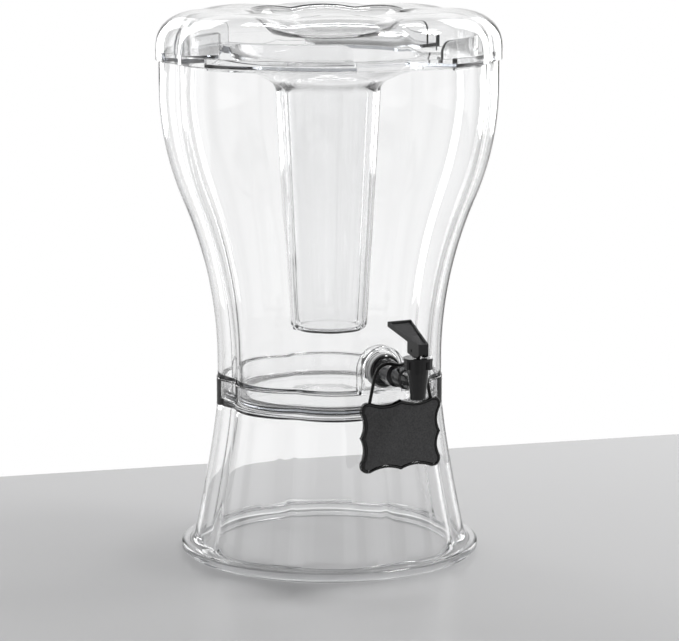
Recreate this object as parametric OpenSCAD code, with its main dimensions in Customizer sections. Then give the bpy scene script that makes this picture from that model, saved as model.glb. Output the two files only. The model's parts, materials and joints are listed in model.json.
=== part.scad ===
// Clear plastic drink dispenser, in millimetres, +Z up, with the tap towards -Y.
// The origin is on the dispenser's axis, at the floor that the foot ring stands on.
// A lobed vessel nests in a lobed pedestal. An ice core hangs from the vessel's rim under a lid.
// A lever tap passes through a flat boss low on the vessel, and a small sign hangs on its barrel.

/* [Lobes] */
// Number of lobes round the body; the tap sits on a crease between two of them
lobe_count = 8; // [4:4:12]
// Crease radius as a share of the lobe radius, at the waist
waist_crease = 0.925; // [0.9:0.005:0.98]
// Crease radius as a share of the lobe radius, at the rim and lid
rim_crease = 0.955; // [0.93:0.005:0.99]
// Crease radius as a share of the lobe radius, at the foot
foot_crease = 0.945; // [0.93:0.005:0.99]
// Crease radius as a share of the lobe radius, on the ice core
core_crease = 0.955; // [0.9:0.005:0.99]

/* [Pedestal] */
// Height of the pedestal, from the floor to the top of its collar
pedestal_h = 151.5; // [120:0.5:200]
// Wall thickness of the pedestal
pedestal_wall = 3.2; // [2:0.1:4]
// Width of the foot ring's bead, outside the skirt
foot_w = 8.9; // [6:0.1:20]
// How far the foot ring reaches in past the skirt
foot_lip = 2; // [1:0.1:6]
// Height of the foot ring's bead
foot_h = 10.5; // [9:0.5:14]
// Height of the foot ring's flat part under the skirt
foot_flat_h = 5.8; // [4:0.1:8]
// Depth that the skirt runs into the foot ring
skirt_sink = 2.3; // [1:0.1:3.5]
// Height of the bead's underside above the floor
foot_lift = 3; // [1:0.5:4]
// Lobe radius of the skirt where it runs into the foot ring
skirt_foot_r = 117.6; // [114:0.2:120]
// Lobe radius of the collar that holds the vessel
collar_r = 95.8; // [90:0.2:100]
// Lobe radius at the bend of the skirt's curve
skirt_bend_r = 98.5; // [94:0.5:104]
// Height of the bend of the skirt's curve
skirt_bend_z = 95; // [60:1:110]
// Depth of the collar's pocket, down to its ledge
pocket_d = 18; // [12:0.5:26]
// Thickness of the ledge that the vessel stands on
ledge_t = 4; // [3:0.5:6]
// Width of the ledge inside the collar
ledge_w = 18.6; // [16:0.1:40]

/* [Vessel] */
// Height of the vessel, from the underside of its floor to its rim
vessel_h = 286; // [250:1:330]
// Wall thickness of the vessel
vessel_wall = 3.2; // [2:0.1:4]
// Thickness of the vessel's floor
floor_t = 3.5; // [2.5:0.1:5]
// Bevel round the underside of the floor
floor_bevel = 6; // [3:0.5:8]
// How far the vessel's waist lies in from the collar's outside
waist_in = 0.8; // [0:0.1:2]
// Lobe radius of the vessel at its rim
rim_r = 142; // [130:0.5:150]
// Height above the collar where the flare starts
flare_start = 13.5; // [5:0.5:40]
// Height below the rim where the flare has become upright again
flare_end = 24.5; // [10:0.5:60]
// Lobe radius where the flare turns from hollow to full
turn_r = 122.9; // [105:0.1:130]
// Side clearance between the vessel's foot and the collar's pocket
pocket_gap = 0.5; // [0.3:0.1:1]
// Clearance between the vessel's shoulder and the collar's top edge
shoulder_gap = 0.4; // [0.3:0.1:1]

/* [Ice core] */
// Depth of the ice core's tip below the rim
core_drop = 228.5; // [150:0.5:237]
// Lobe radius of the ice core at its tip
core_tip_r = 31.5; // [25:0.5:38]
// Lobe radius of the ice core under its bell
core_top_r = 43; // [38:0.5:50]
// Wall thickness of the ice core
core_wall = 2.2; // [1.5:0.1:3]
// Bevel round the ice core's tip
core_bevel = 5; // [2:0.5:7]
// Height of the bell that spreads from the ice core's tube
bell_h = 29.5; // [18:0.5:36]
// Radius of the bell at its top
bell_r = 80; // [65:0.5:90]
// Width of the hanger's ring on each side of the bell's top
bell_rim = 4.5; // [3:0.1:8]
// Thickness of the hanger's arms
arm_t = 2.5; // [2:0.1:4]
// Number of hanger arms; each lies on a crease
arm_count = 4; // [2:2:4]
// Angle that each hanger arm covers
arm_angle = 53; // [30:1:70]
// Thickness of the lugs that rest on the rim
lug_t = 7; // [3:0.1:9]
// Width of the lugs, inwards from the lid's skirt
lug_w = 5.5; // [5:0.1:8]
// Depth of the lip that centres the hanger inside the rim
lip_h = 3; // [2:0.1:6]
// How far the upright finger tabs stand in from the rim
tab_inset = 16; // [15:0.5:30]
// Height of the finger tabs
tab_h = 16.5; // [10:0.5:17.5]
// Thickness of the finger tabs
tab_t = 2.5; // [2:0.1:4]
// Rounding of the finger tabs' corners
tab_round = 8; // [2:0.5:10]

/* [Lid] */
// Wall thickness of the lid
lid_wall = 2.2; // [1.6:0.1:3]
// Clearance between the lid's skirt and the rim
lid_gap = 0.4; // [0.3:0.1:1]
// How far the lid's skirt reaches down past the rim
lid_drop = 1; // [0.5:0.5:8]
// Width of the step inside the lid that rests on the lugs
lid_step = 2.8; // [2:0.1:4]
// Height of the lid's crest above that step
crest_h = 33; // [28:0.5:45]
// Width of the lid's rounded corner
corner_w = 44.5; // [35:0.5:50]
// Fullness of that corner: 1 is an ellipse, and less is squarer
corner_full = 0.82; // [0.7:0.01:1]
// Radius where the lid's top starts to slope into its recess
slope_r = 74; // [65:1:85]
// Radius of the flat recess in the lid's middle
recess_r = 44; // [30:1:55]
// Depth of the recess below the crest
recess_d = 21.5; // [10:0.5:24]
// How much lower the crest is on a crease than on a lobe
crest_dip = 2.5; // [1:0.5:6]

/* [Tap] */
// Radius of the flat boss on the vessel
boss_r = 20; // [16.5:0.5:24]
// Height of the tap's axis above the pedestal
tap_rise = 19.5; // [19:0.5:40]
// How far the boss's face stands out past the waist's lobes
boss_proud = 1; // [0:0.5:6]
// Radius of the tap's shank
shank_r = 8; // [7:0.1:9]
// Clearance between the shank and what it passes through
shank_gap = 0.15; // [0.05:0.05:0.5]
// Length of shank beyond the lock nut
shank_tail = 2; // [0.5:0.5:6]
// Thickness of the sealing washers
washer_t = 2; // [1:0.1:4]
// Radius of the sealing washers
washer_r = 14.3; // [13:0.1:16]
// Radius of the tap's flange
flange_r = 13.1; // [12.5:0.1:18]
// Thickness of the tap's flange
flange_t = 3; // [2:0.1:5]
// Width of the lock nut across its flats
nut_flats = 24; // [22:0.5:28]
// Thickness of the lock nut
nut_t = 7; // [5:0.5:10]
// Distance from the flange to the middle of the spout
reach = 53; // [48:0.5:70]
// Radius of the barrel beside the flange
barrel_r = 9.7; // [8.5:0.1:11]
// Radius of the cone that joins the barrel to the flange
cone_r = 11.6; // [10.5:0.1:12]
// Length of that cone
cone_l = 5; // [2:0.5:8]
// Radius of the groove that the sign hangs in
groove_r = 7.6; // [6.5:0.1:7.6]
// Distance from the flange to the middle of that groove
groove_s = 23.5; // [19:0.5:25]
// Width of that groove
groove_w = 6; // [5:0.5:8]
// Radius of the barrel's collar in front of the groove
ring_r = 8.8; // [8:0.1:10]
// Length of the barrel's collar
ring_l = 7.5; // [4:0.5:10]
// Length of the slopes at the ends of the groove and the collar
ease_l = 1.8; // [1:0.1:3]
// Bevel of the flange's edge
edge = 0.6; // [0.3:0.1:1]
// Radius of the water way through the barrel
way_r = 4.5; // [3:0.1:5]
// Radius of the tap's upright body
body_r = 8.4; // [8:0.1:10]
// Radius of the spout's tip
spout_r = 6.2; // [5.5:0.1:7.5]
// How far the spout's tip is below the tap's axis
spout_drop = 13.5; // [11:0.5:20]
// Height above the tap's axis where the upright body starts to taper down to the spout
taper_rise = 8; // [4:0.5:12]
// How far the upright body rises above the tap's axis
body_rise = 17; // [15:0.5:25]
// Radius of the valve chamber
chamber_r = 6.2; // [5.8:0.1:7]
// Radius of the spout's outlet
outlet_r = 4.4; // [3.5:0.1:5]
// Radius of the hole in the valve seat
seat_r = 3.2; // [2:0.1:3.6]
// How far the valve seat is below the tap's axis
seat_drop = 6; // [5:0.5:8]
// Thickness of the valve seat
seat_t = 3; // [2:0.5:4]

/* [Valve] */
// Radius of the stem
stem_r = 1.6; // [1.2:0.1:2]
// Running clearance of the stem and of the hinge pin
run_gap = 0.06; // [0.02:0.01:0.1]
// Room for water round the seat cup
cup_gap = 0.8; // [0.5:0.1:1.5]
// Height of the seat cup
cup_h = 7.5; // [6:0.5:9]
// Thickness of the seat cup's sole
cup_sole = 2.5; // [1.5:0.1:4]
// Radius of the stem's foot inside the seat cup
stem_foot_r = 3; // [2.2:0.1:4]
// Room for water round the stem's spring collar
disc_gap = 1; // [0.6:0.1:1.2]
// Thickness of the stem's spring collar
collar_disc_t = 2; // [1:0.1:3]
// Mean radius of the return spring
spring_r = 4.4; // [4.2:0.1:4.8]
// Radius of the return spring's wire
spring_wire_r = 0.4; // [0.3:0.05:0.5]
// Turns of the return spring
spring_turns = 6; // [4:1:8]
// Section radius of the stem's sealing ring
seal_r = 0.75; // [0.6:0.05:0.9]
// How far the stem rises when the tap is open
stem_lift = 3; // [2:0.1:3.5]

/* [Bonnet] */
// Radius of the bonnet
bonnet_r = 11.9; // [11:0.1:13]
// Height of the bonnet
bonnet_h = 9; // [7:0.5:12]
// Thickness of the bonnet's roof
roof_t = 3.5; // [3:0.1:5]
// Clearance between the bonnet and the upright body
bonnet_gap = 0.15; // [0.05:0.05:0.4]
// Height of the ring round the bonnet's top
bonnet_ring_h = 2.2; // [1.5:0.1:4]
// Number of grip ribs round the bonnet
rib_count = 3; // [3:1:10]
// Width of a grip rib
rib_w = 4.5; // [2:0.1:6]
// How far the grip ribs stand out
rib_proud = 2.3; // [0.5:0.1:2.5]
// Angle at which the bonnet is screwed home
rib_turn = 62.5; // [0:0.5:120]

/* [Lever] */
// Width of the lever's front
block_w = 9; // [8:0.1:16]
// Height of the lever's front edge above the hinge pin
block_rise = 5.8; // [5:0.1:8]
// Depth of the block behind the hinge pin
block_back = 5.7; // [5:0.1:9]
// Height of the slant under the block's back
block_slant = 3.2; // [1:0.1:4]
// Height of the hinge pin above the bonnet
pin_rise = 6; // [5:0.1:8]
// Radius of the hinge pin
pin_r = 1.25; // [1:0.05:1.6]
// Radius of the stem's eye
eye_r = 3.4; // [2.8:0.1:4]
// Thickness of the stem's eye
eye_t = 4; // [3:0.1:5]
// Side clearance of the eye in the lever's slot
eye_gap = 0.3; // [0.2:0.05:0.6]
// Angle that the lever turns from closed to open
lever_turn = 50; // [30:1:60]
// Clearance under the lever's cam
cam_gap = 0.3; // [0.2:0.05:0.5]
// Distance from the hinge pin back to the paddle's tip
paddle_l = 31.4; // [25:0.1:45]
// Width of the paddle's tip
paddle_w = 21.5; // [18:0.5:28]
// Thickness of the paddle, straight down
paddle_t = 4; // [3:0.1:5]
// Slope of the lever's top
paddle_slope = 18; // [10:1:30]
// Width of the rim round the paddle's sunk face
paddle_rim = 1.6; // [1:0.1:3]
// Depth of the paddle's sunk face
paddle_sink = 1.2; // [0.5:0.1:2]

/* [Sign] */
// Width of the sign
sign_w = 73; // [60:1:90]
// Height of the sign
sign_h = 58; // [45:1:60]
// Thickness of the sign's frame
sign_t = 4.8; // [4.4:0.1:6]
// Distance from the tap's axis down to the middle of the sign
sign_drop = 48; // [47:0.5:49]
// Width of the sign's raised rim
sign_rim = 2.6; // [1.5:0.1:4]
// Depth of the pocket that holds the panel
panel_sink = 1.2; // [0.8:0.1:1.4]
// Thickness of the chalk panel
panel_t = 0.8; // [0.5:0.1:0.8]
// Clearance round the chalk panel
panel_gap = 0.15; // [0.05:0.05:0.4]
// Hollow of the curves along the sign's edges
sign_hollow = 3; // [1:0.5:4]
// Size of the sign's rounded corners
sign_corner = 8.5; // [7:0.5:12]
// Rounding of the sign's corners
sign_round = 6; // [5:0.5:8]
// Radius of the cord
cord_r = 1.35; // [0.8:0.05:1.4]
// Clearance between the cord and its holes
cord_gap = 0.06; // [0.02:0.02:0.2]
// Depth of the cord's plane in front of the sign's back
cord_inset = 1.9; // [1.8:0.1:2.1]

/* [Hidden] */

// Roundness of turned surfaces
$fn = 64;
// Length by which a cut runs past the surface it opens
over = 1;
// Side of a wedge that reaches past everything it cuts
far = 400;
// Points round one lobe, steps along a curved wall, and steps along a short curve
lobe_steps = 8;
wall_steps = 10;
curve_steps = 8;
// Bevels have two faces, and the first one takes this share
bevel_split = 0.3;
// Share of the bell's height at the middle of its spread
bell_bend = 0.34;
// Sides of the lock nut
nut_sides = 6;
// Rings to a turn of the spring, and sides of its wire
coil_rings = 8;
coil_sides = 6;
// Steps along the lever's cam
cam_steps = 10;

clear_colour = [0.88, 0.92, 0.95, 0.45];
black_colour = [0.07, 0.07, 0.08];
chalk_colour = [0.24, 0.24, 0.25];
silicone_colour = [0.85, 0.86, 0.87];
steel_colour = [0.72, 0.73, 0.75];

// Heights up the object's axis
ledge_z = pedestal_h - pocket_d;
collar_z = ledge_z - ledge_t;
floor_z = ledge_z + floor_t;
shoulder_z = pedestal_h + shoulder_gap;
rim_z = ledge_z + vessel_h;
flare_low_z = pedestal_h + flare_start;
flare_high_z = rim_z - flare_end;
lug_z = rim_z + lug_t;
arm_z = rim_z;
core_tip_z = rim_z - core_drop;
bell_z = arm_z - bell_h;
crest_z = lug_z + crest_h;
tap_z = pedestal_h + tap_rise;

// The vessel's flare is two arcs that meet on a slant: the lower one hollow, the upper one full
waist_r = collar_r - waist_in;
flare_angle = 2 * atan((rim_r - waist_r) / (flare_high_z - flare_low_z));
hollow_arc_r = (turn_r - waist_r) / (1 - cos(flare_angle));
full_arc_r = (rim_r - turn_r) / (1 - cos(flare_angle));
turn_z = flare_low_z + hollow_arc_r * sin(flare_angle);

// Places along the tap's axis, as distances from the object's axis
boss_face = waist_r + boss_proud;
plug_r = collar_r - pedestal_wall - pocket_gap;
boss_inner = boss_face - vessel_wall;
boss_root = waist_r * waist_crease - vessel_wall;
hollow_root = (plug_r - vessel_wall) * waist_crease - over;
flange_back = boss_face + washer_t;
flange_face = flange_back + flange_t;
groove_y = flange_face + groove_s;
spout_y = flange_face + reach;
nut_face = boss_inner - washer_t;
nut_end = nut_face - nut_t;
shank_end = nut_end - shank_tail;
bore_r = shank_r + shank_gap;

// Heights in the tap
spout_z = tap_z - spout_drop;
seat_z = tap_z - seat_drop;
body_top_z = tap_z + body_rise;
bonnet_z = body_top_z + roof_t;
collar_disc_z = seat_z + cup_h;
spring_z = collar_disc_z + collar_disc_t;
pin_z = bonnet_z + pin_rise;
gland_r = stem_r + run_gap + 2 * seal_r;
// The stem rises by this much for each radian that the lever turns
lift_per_radian = stem_lift * 180 / (PI * lever_turn);

// The cord's plane, and half its route there, from one end to its middle: x, and z from the tap's axis
cord_y = groove_y;
cord_half = [[-29.2, -25], [-28, -19.6], [-26.6, -13.4], [-25.2, -7], [-24, -1.6], [-22.5, 3.4],
  [-20.2, 7.6], [-17, 10.2], [-13, 11.3], [-8.8, 11.2], [-4.4, 10.2], [0, 9.4]];
cord_back = [for (i = [len(cord_half) - 2 : -1 : 0]) [-cord_half[i][0], cord_half[i][1]]];
cord_route = concat(cord_half, cord_back);
cord_sides = 8;

function mix(a, b, t) = a + (b - a) * t;
function bend(a, b, c, t) = mix(mix(a, b, t), mix(b, c, t), t);
function swing(a, b, c, d, t) = mix(bend(a, b, c, t), bend(b, c, d, t), t);

// Lobes: each one is an arc of a circle, and neighbours meet on a crease
function lobe_turn() = 180 / lobe_count;
function from_lobe(angle) = angle - floor(angle / (2 * lobe_turn())) * 2 * lobe_turn() - lobe_turn();
function lobe_centre(crease) = (1 - crease * crease) / (2 * (1 - crease * cos(lobe_turn())));
function lobe_at(off, c) = c * cos(off) + sqrt(pow(1 - c, 2) - pow(c * sin(off), 2));
function lobe(angle, crease) = lobe_at(from_lobe(angle), lobe_centre(crease));
function crease_share(angle) = (1 - lobe(angle, waist_crease)) / (1 - waist_crease);
lobe_angles = [for (i = [0 : lobe_count * lobe_steps - 1]) i * 360 / (lobe_count * lobe_steps)];

// One ring of a lobed wall: lobe radius, height, crease share and how far the crease dips
function ring(r, z, crease, dip = 0) = [for (a = lobe_angles)
  [r * lobe(a, crease) * cos(a), r * lobe(a, crease) * sin(a), z - dip * crease_share(a)]];

// Triangles between rings of n points
function band(j, k, n) = [for (i = [0 : n - 1]) each
  [[j * n + i, k * n + i, k * n + (i + 1) % n], [j * n + i, k * n + (i + 1) % n, j * n + (i + 1) % n]]];
function fan(centre, start, n, down) = [for (i = [0 : n - 1])
  down ? [centre, start + i, start + (i + 1) % n] : [centre, start + (i + 1) % n, start + i]];

// A wall through rings that ends in a flat face at each end
module closed_wall(rings) {
  n = len(rings[0]);
  m = len(rings);
  last = n * m;
  ends = [[0, 0, rings[0][0][2]], [0, 0, rings[m - 1][0][2]]];
  polyhedron(
    points = [each [for (r = rings) each r], each ends],
    faces = [each fan(last, 0, n, true),
      each [for (j = [0 : m - 2]) each band(j, j + 1, n)],
      each fan(last + 1, (m - 1) * n, n, false)]);
}

// A wall through rings that comes back to its first ring
module open_wall(rings) {
  n = len(rings[0]);
  m = len(rings);
  polyhedron(points = [for (r = rings) each r], faces = [for (j = [0 : m - 1]) each band(j, (j + 1) % m, n)]);
}

module lobed_plate(r, crease) {
  polygon([for (a = lobe_angles) r * lobe(a, crease) * [cos(a), sin(a)]]);
}

// Turned along the tap's axis: x of the outline is the radius, y the distance from the object's axis
module on_tap_axis() {
  translate([0, 0, tap_z]) rotate([90, 0, 0]) children();
}

module at_spout() {
  translate([0, -spout_y, 0]) children();
}

// Crease of the pedestal at a height, and the middle line of its skirt
function pedestal_crease(z) = mix(foot_crease, waist_crease, min(1, z / collar_z));
skirt_z0 = foot_flat_h - skirt_sink;
foot_r = skirt_foot_r + foot_w;
foot_in_r = skirt_foot_r * foot_crease - pedestal_wall - foot_lip;
function skirt_r(t) = bend(skirt_foot_r, skirt_bend_r, collar_r, t);
function skirt_z(t) = bend(skirt_z0, skirt_bend_z, collar_z, t);

// The ring that stands on the floor, and the round bead outside it
module foot_ring() {
  bead_r = (foot_h - foot_lift) / 2;
  rotate_extrude($fn = 2 * $fn) {
    translate([foot_in_r, 0]) square([skirt_foot_r - foot_in_r, foot_flat_h]);
    translate([skirt_foot_r, foot_lift]) square([foot_w - bead_r, foot_h - foot_lift]);
    translate([foot_r - bead_r, foot_lift + bead_r]) circle(bead_r);
  }
}

// Flange that fills the room between the lobed skirt and the round bead
module foot_flange() {
  translate([0, 0, skirt_z0]) linear_extrude(foot_h - skirt_z0) difference() {
    circle(skirt_foot_r + over, $fn = 2 * $fn);
    lobed_plate(skirt_foot_r - pedestal_wall / 2, foot_crease);
  }
}

module pedestal_shell() {
  steps = [for (i = [0 : wall_steps]) i / wall_steps];
  back = [for (i = [wall_steps : -1 : 0]) i / wall_steps];
  w = pedestal_wall;
  ledge_in_r = collar_r - w - ledge_w;
  open_wall([
    for (t = steps) ring(skirt_r(t), skirt_z(t), pedestal_crease(skirt_z(t))),
    ring(collar_r, pedestal_h, waist_crease),
    ring(collar_r - w, pedestal_h, waist_crease),
    ring(collar_r - w, ledge_z, waist_crease),
    ring(ledge_in_r, ledge_z, 1),
    ring(ledge_in_r, collar_z, 1),
    for (t = back) ring(skirt_r(t) - w, skirt_z(t), pedestal_crease(skirt_z(t)))
  ]);
}

// Clear stand: round foot ring, lobed flaring skirt, collar with a pocket and ledge for the vessel
module pedestal() {
  color(clear_colour) union() {
    foot_ring();
    foot_flange();
    pedestal_shell();
  }
}

// Lobe radius and crease of the vessel's outer wall at a height above the shoulder
function vessel_r(z) = z <= flare_low_z ? waist_r
  : z <= turn_z ? waist_r + hollow_arc_r - sqrt(pow(hollow_arc_r, 2) - pow(z - flare_low_z, 2))
  : z <= flare_high_z ? rim_r - full_arc_r + sqrt(pow(full_arc_r, 2) - pow(flare_high_z - z, 2))
  : rim_r;
function vessel_crease(z) = mix(waist_crease, rim_crease, max(0, (z - shoulder_z) / (rim_z - shoulder_z)));

module vessel_shell() {
  w = vessel_wall;
  flare = [for (i = [0 : wall_steps]) mix(flare_low_z, flare_high_z, i / wall_steps)];
  down = [for (i = [wall_steps : -1 : 0]) mix(flare_low_z, flare_high_z, i / wall_steps)];
  closed_wall([
    ring(plug_r - floor_bevel, ledge_z, waist_crease),
    ring(plug_r - floor_bevel * bevel_split, ledge_z + floor_bevel * bevel_split, waist_crease),
    ring(plug_r, ledge_z + floor_bevel, waist_crease),
    ring(plug_r, shoulder_z, waist_crease),
    ring(waist_r, shoulder_z, waist_crease),
    for (z = flare) ring(vessel_r(z), z, vessel_crease(z)),
    ring(rim_r, rim_z, rim_crease),
    ring(rim_r - w, rim_z, rim_crease),
    for (z = down) ring(vessel_r(z) - w, z, vessel_crease(z)),
    ring(waist_r - w, shoulder_z + waist_r - plug_r, waist_crease),
    ring(plug_r - w, shoulder_z, waist_crease),
    ring(plug_r - w, floor_z + floor_bevel, waist_crease),
    ring(plug_r - w - floor_bevel * bevel_split, floor_z + floor_bevel * bevel_split, waist_crease),
    ring(plug_r - w - floor_bevel, floor_z, waist_crease)
  ]);
}

// Arch on straight sides that stand on a height, for the tap's boss and the hollow behind it
module boss_arch(r, low_z) {
  intersection() {
    union() {
      circle(r);
      translate([-r, -far]) square([2 * r, far]);
    }
    translate([-far / 2, low_z - tap_z]) square(far);
  }
}

module along_tap(from, to) {
  on_tap_axis() translate([0, 0, from]) linear_extrude(to - from) children();
}

// Clear reservoir: lobed tulip with a floor, a nesting foot and a flat boss for the tap, hollow from inside
module vessel() {
  color(clear_colour) difference() {
    union() {
      vessel_shell();
      along_tap(boss_root, boss_face) boss_arch(boss_r, shoulder_z);
    }
    along_tap(hollow_root, boss_inner) boss_arch(boss_r - vessel_wall, shoulder_z + vessel_wall);
    along_tap(boss_inner - over, boss_face + over) circle(bore_r);
  }
}

// Places a piece at each of the hanger's arms
module at_arms() {
  for (i = [0 : arm_count - 1]) rotate(360 * (i + 0.5) / arm_count) children();
}

// Wedges that the hanger's arms lie in
module arm_wedges() {
  at_arms()
    polygon([[0, 0], far * [cos(arm_angle / 2), -sin(arm_angle / 2)], [far, 0],
      far * [cos(arm_angle / 2), sin(arm_angle / 2)]]);
}

module hanger_layer(z, h) {
  translate([0, 0, z]) linear_extrude(h) children();
}

// Arms, lugs on the rim, and the lip that centres them inside it
module hanger() {
  lug_out = rim_r - lid_gap;
  lug_in = rim_r - lug_w;
  lip_out = rim_r - vessel_wall - lid_gap;
  hanger_layer(arm_z, arm_t) difference() {
    union() {
      circle(bell_r + bell_rim);
      intersection() {
        arm_wedges();
        lobed_plate(lug_out, rim_crease);
      }
    }
    circle(bell_r - bell_rim);
  }
  hanger_layer(rim_z, lug_t) intersection() {
    arm_wedges();
    difference() {
      lobed_plate(lug_out, rim_crease);
      lobed_plate(lug_in, rim_crease);
    }
  }
  hanger_layer(rim_z - lip_h, lip_h + lug_t) intersection() {
    arm_wedges();
    difference() {
      lobed_plate(lip_out, rim_crease);
      lobed_plate(lug_in, rim_crease);
    }
  }
}

// Upright tab at the end of each arm, with rounded upper corners
module finger_tabs() {
  tab_r = rim_r - tab_inset;
  half_w = tab_r * sin(arm_angle / 2);
  at_arms() intersection() {
    translate([0, 0, arm_z]) difference() {
      cylinder(h = arm_t + tab_h, r = tab_r);
      translate([0, 0, -over]) cylinder(h = arm_t + tab_h + 2 * over, r = tab_r - tab_t);
    }
    translate([0, 0, arm_z]) rotate([90, 0, 90]) linear_extrude(far) union() {
      translate([-half_w, 0]) square([2 * half_w, arm_t + tab_h - tab_round]);
      translate([tab_round - half_w, 0]) square([2 * (half_w - tab_round), arm_t + tab_h]);
      for (s = [-1, 1])
        translate([s * (half_w - tab_round), arm_t + tab_h - tab_round]) circle(tab_round);
    }
  }
}

// Middle line of the bell, from the tube to its top inside the hanger's plate
bell_top_z = arm_z + arm_t / 2;
bell_mid_z = mix(bell_z, bell_top_z, bell_bend);
function bell_line_r(t) = swing(core_top_r, core_top_r, bell_r, bell_r, t);
function bell_line_z(t) = swing(bell_z, bell_mid_z, bell_mid_z, bell_top_z, t);
function bell_crease(t) = mix(core_crease, 1, t);

module core_shell() {
  w = core_wall;
  up = [for (i = [0 : curve_steps]) i / curve_steps];
  down = [for (i = [curve_steps : -1 : 0]) i / curve_steps];
  closed_wall([
    ring(core_tip_r - core_bevel, core_tip_z, core_crease),
    ring(core_tip_r - core_bevel * bevel_split, core_tip_z + core_bevel * bevel_split, core_crease),
    ring(core_tip_r, core_tip_z + core_bevel, core_crease),
    for (t = up) ring(bell_line_r(t), bell_line_z(t), bell_crease(t)),
    for (t = down) ring(bell_line_r(t) - w, bell_line_z(t), bell_crease(t)),
    ring(core_tip_r - w, core_tip_z + core_bevel + w, core_crease),
    ring(core_tip_r - w - core_bevel * bevel_split, core_tip_z + core_bevel * bevel_split + w, core_crease),
    ring(core_tip_r - w - core_bevel, core_tip_z + w, core_crease)
  ]);
}

// Clear ice tube that hangs from the rim by four arms
module ice_core() {
  color(clear_colour) union() {
    core_shell();
    hanger();
    finger_tabs();
  }
}

// The lid's outer wall: a corner that rises to the crest, a level top, then a slope down to the recess
lid_r = rim_r + lid_gap + lid_wall;
crest_r = lid_r - corner_w;
lid_in_r = rim_r + lid_gap - lid_step;
function corner_ring(r, h, t) = ring(mix(crest_r, r, pow(cos(90 * t), corner_full)),
  lug_z + h * pow(sin(90 * t), corner_full), rim_crease, crest_dip * pow(sin(90 * t), 2));
function slope_ring(drop, t) = ring(mix(slope_r, recess_r, t),
  crest_z - drop - recess_d * (1 - cos(180 * t)) / 2, mix(rim_crease, 1, t), crest_dip * pow(cos(90 * t), 2));

// Clear lid: lobed skirt, full lobed corner, crest ring and flat recess in the middle
module lid() {
  up = [for (i = [0 : wall_steps]) i / wall_steps];
  outer = [for (i = [0 : curve_steps]) i / curve_steps];
  inner = [for (i = [curve_steps : -1 : 0]) i / curve_steps];
  corner_down = [for (i = [wall_steps : -1 : 0]) i / wall_steps];
  color(clear_colour) closed_wall([
    for (t = inner) slope_ring(lid_wall, t),
    for (t = corner_down) corner_ring(lid_in_r, crest_h - lid_wall, t),
    ring(rim_r + lid_gap, lug_z, rim_crease),
    ring(rim_r + lid_gap, rim_z - lid_drop, rim_crease),
    ring(lid_r, rim_z - lid_drop, rim_crease),
    for (t = up) corner_ring(lid_r, crest_h, t),
    for (t = outer) slope_ring(0, t)
  ]);
}

// Outline of the turned parts along the tap's axis: radius, distance from the object's axis
module tap_outline() {
  groove_a = groove_y - groove_w / 2;
  groove_b = groove_y + groove_w / 2;
  ring_a = groove_b + ease_l;
  polygon([[0, shank_end], [shank_r, shank_end], [shank_r, flange_back], [flange_r, flange_back],
    [flange_r, flange_face - edge], [flange_r - edge, flange_face], [cone_r, flange_face],
    [barrel_r, flange_face + cone_l], [barrel_r, groove_a - ease_l], [groove_r, groove_a],
    [groove_r, groove_b], [ring_r, ring_a], [ring_r, ring_a + ring_l],
    [groove_r, ring_a + ring_l + ease_l], [groove_r, spout_y], [0, spout_y]]);
}

// Outline of the upright body: radius, height
module body_outline() {
  polygon([[0, spout_z], [spout_r, spout_z], [body_r, tap_z + taper_rise], [body_r, body_top_z],
    [0, body_top_z]]);
}

// Black tap body: shank, flange, barrel and upright valve body with its spout
module tap_body() {
  color(black_colour) difference() {
    union() {
      on_tap_axis() rotate_extrude() tap_outline();
      at_spout() rotate_extrude() body_outline();
    }
    on_tap_axis() translate([0, 0, shank_end - over]) cylinder(h = spout_y - shank_end + over, r = way_r);
    at_spout() translate([0, 0, seat_z]) cylinder(h = body_top_z - seat_z + over, r = chamber_r);
    at_spout() translate([0, 0, seat_z - seat_t - over]) cylinder(h = seat_t + 2 * over, r = seat_r);
    at_spout() translate([0, 0, spout_z - over]) cylinder(h = seat_z - seat_t - spout_z + over, r = outlet_r);
  }
}

module washer(y) {
  color(silicone_colour) on_tap_axis() translate([0, 0, y]) difference() {
    cylinder(h = washer_t, r = washer_r);
    translate([0, 0, -over]) cylinder(h = washer_t + 2 * over, r = bore_r);
  }
}

// Silicone washers on the two faces of the boss
module front_washer() {
  washer(boss_face);
}
module rear_washer() {
  washer(nut_face);
}

// Hexagonal nut that draws the tap against the boss from inside the vessel
module lock_nut() {
  color(black_colour) on_tap_axis() translate([0, 0, nut_end]) difference() {
    rotate(180 / nut_sides) cylinder(h = nut_t, r = nut_flats / 2 / cos(180 / nut_sides), $fn = nut_sides);
    translate([0, 0, -over]) cylinder(h = nut_t + 2 * over, r = bore_r);
  }
}

// Ribbed cap that closes the upright body and guides the stem
module bonnet() {
  low_z = bonnet_z - bonnet_h;
  root_r = bonnet_r - rib_proud;
  color(black_colour) at_spout() difference() {
    union() {
      translate([0, 0, low_z]) cylinder(h = bonnet_h, r = root_r);
      translate([0, 0, bonnet_z - bonnet_ring_h]) cylinder(h = bonnet_ring_h, r = bonnet_r);
      for (i = [0 : rib_count - 1]) rotate(rib_turn + 360 * i / rib_count)
        translate([body_r + over, -rib_w / 2, low_z]) cube([bonnet_r - body_r - over, rib_w, bonnet_h]);
    }
    translate([0, 0, low_z - over]) cylinder(h = bonnet_h - roof_t + over, r = body_r + bonnet_gap);
    translate([0, 0, low_z]) cylinder(h = bonnet_h + over, r = stem_r + run_gap);
    translate([0, 0, body_top_z - over]) cylinder(h = over + 2 * seal_r, r = gland_r);
  }
}

// Sealing ring round the stem, in the bonnet's gland
module stem_seal() {
  color(silicone_colour) at_spout() translate([0, 0, body_top_z + seal_r])
    rotate_extrude() translate([gland_r - seal_r, 0]) circle(seal_r);
}

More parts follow.
